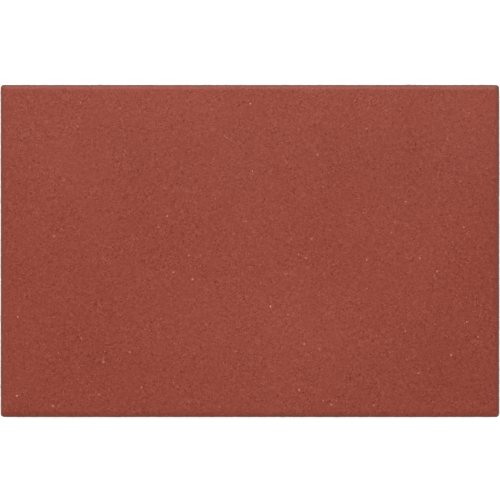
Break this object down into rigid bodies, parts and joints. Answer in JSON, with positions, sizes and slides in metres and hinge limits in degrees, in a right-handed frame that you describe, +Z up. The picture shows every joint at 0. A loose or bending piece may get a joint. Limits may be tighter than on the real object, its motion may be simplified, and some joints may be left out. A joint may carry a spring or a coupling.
{
  "type": "concrete paving slab",
  "caption": "Rectangular pressed concrete paving slab with a bevelled red facing on a grey backing, pale sand grains in the face and gravel in the backing.",
  "frame": {"origin": "middle of the bedding face, the underside that lies on the ground", "axes": "+X along the slab's length, +Y along its width, +Z up out of the walking face"},
  "size_m": [0.6, 0.4, 0.05],
  "materials": {
    "red_facing_concrete": "matte",
    "grey_backing_concrete": "matte",
    "pale_quartz": "satin",
    "dull_flint": "satin",
    "river_gravel": "satin"
  },
  "bodies": {
    "root": {"facing_layer": "red_facing_concrete", "backing_layer": "grey_backing_concrete", "quartz_grains": "pale_quartz", "flint_grains": "dull_flint", "backing_gravel": "river_gravel"}
  },
  "joints": []
}
